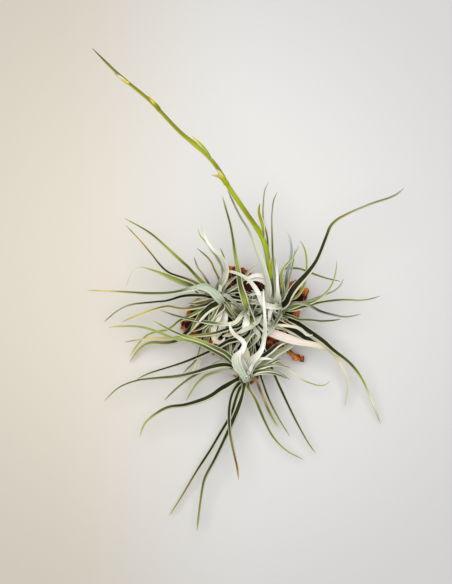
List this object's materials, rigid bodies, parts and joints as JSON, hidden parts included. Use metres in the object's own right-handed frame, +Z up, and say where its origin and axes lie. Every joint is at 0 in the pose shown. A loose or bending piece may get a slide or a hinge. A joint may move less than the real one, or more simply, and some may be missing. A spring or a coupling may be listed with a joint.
{
  "type": "air plant",
  "caption": "Clump of arhiza air plants with curling silver-green leaves and a long flower stalk, growing on a flat-bottomed piece of bark.",
  "frame": {"origin": "middle of the bark's flat underside, on the surface the plant rests on", "axes": "+Z up; +Y towards the end of the flower stalk and the top of the picture, +X towards the hooked leaf at its right"},
  "size_m": [0.3125, 0.4603, 0.212],
  "materials": {
    "bark": "rough cork bark, rust orange on the outside and dark maroon where broken",
    "stem": "soft, papery old leaf bases",
    "leaf_green": "satin dark green channel, silver scales on the back, yellow-brown tip",
    "leaf_silver": "matte, covered in fine silver scales",
    "leaf_lime": "satin lime green with pale edges",
    "leaf_dry": "dry and papery, cream to tan",
    "stalk": "smooth satin lime green, tan at its nodes"
  },
  "bodies": {
    "root": {"bark_mount": "bark", "centre_leaf_01": "leaf_green", "centre_leaf_02": "leaf_green", "centre_leaf_03": "leaf_green", "centre_leaf_04": "leaf_green", "centre_leaf_05": "leaf_dry", "centre_leaf_06": "leaf_silver", "centre_leaf_07": "leaf_silver", "centre_leaf_08": "leaf_green", "centre_leaf_09": "leaf_lime", "centre_stem": "stem", "flower_stalk": "stalk", "left_leaf_01": "leaf_green", "left_leaf_02": "leaf_green", "left_leaf_03": "leaf_green", "left_leaf_04": "leaf_lime", "left_leaf_05": "leaf_green", "left_leaf_06": "leaf_green", "left_leaf_07": "leaf_green", "left_leaf_08": "leaf_lime", "left_leaf_09": "leaf_silver", "left_leaf_10": "leaf_green", "left_leaf_11": "leaf_green", "left_leaf_12": "leaf_silver", "left_stem": "stem", "lower_leaf_01": "leaf_dry", "lower_leaf_02": "leaf_green", "lower_leaf_03": "leaf_green", "lower_leaf_04": "leaf_green", "lower_leaf_05": "leaf_lime", "lower_leaf_06": "leaf_silver", "lower_leaf_07": "leaf_silver", "lower_leaf_08": "leaf_green", "lower_leaf_09": "leaf_green", "lower_leaf_10": "leaf_green", "lower_leaf_11": "leaf_silver", "lower_leaf_12": "leaf_silver", "lower_leaf_13": "leaf_green", "lower_leaf_14": "leaf_green", "lower_leaf_15": "leaf_silver", "lower_leaf_16": "leaf_silver", "lower_stem": "stem", "right_leaf_01": "leaf_green", "right_leaf_02": "leaf_green", "right_leaf_03": "leaf_green", "right_leaf_04": "leaf_lime", "right_leaf_05": "leaf_green", "right_leaf_06": "leaf_green", "right_leaf_07": "leaf_silver", "right_leaf_08": "leaf_lime", "right_leaf_09": "leaf_green", "right_leaf_10": "leaf_green", "right_leaf_11": "leaf_lime", "right_leaf_12": "leaf_silver", "right_leaf_13": "leaf_silver", "right_leaf_14": "leaf_green", "right_leaf_15": "leaf_silver", "right_stem": "stem", "stalk_bract_01": "leaf_lime", "stalk_bract_02": "leaf_lime"}
  },
  "joints": []
}
